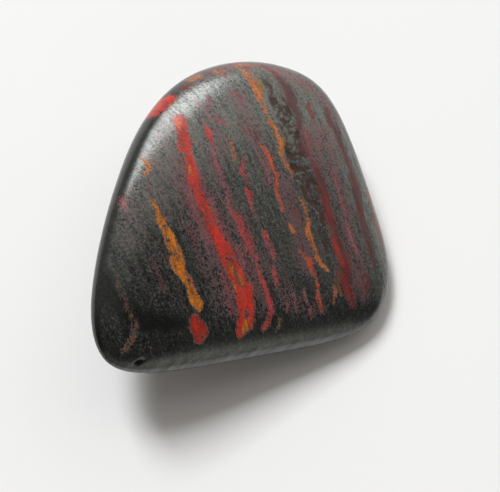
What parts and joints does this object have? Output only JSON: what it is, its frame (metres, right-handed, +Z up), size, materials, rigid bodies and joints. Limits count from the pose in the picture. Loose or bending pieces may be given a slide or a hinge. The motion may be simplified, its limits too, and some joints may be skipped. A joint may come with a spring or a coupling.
{
  "type": "banded ironstone",
  "caption": "Tumbled pebble of banded ironstone with one straight edge, lying on a small flat spot, its polished face sloping down to the right",
  "frame": {"origin": "under the middle of the pebble, level with the flat spot that it rests on", "axes": "+Z up; -Y is the side of the straight edge; the polished face slopes down towards +X and -Y"},
  "size_m": [0.0258, 0.0288, 0.0108],
  "materials": {
    "stone": "polished dark grey ironstone with red jasper, ochre and maroon bands"
  },
  "bodies": {
    "root": {"stone": "stone"}
  },
  "joints": []
}
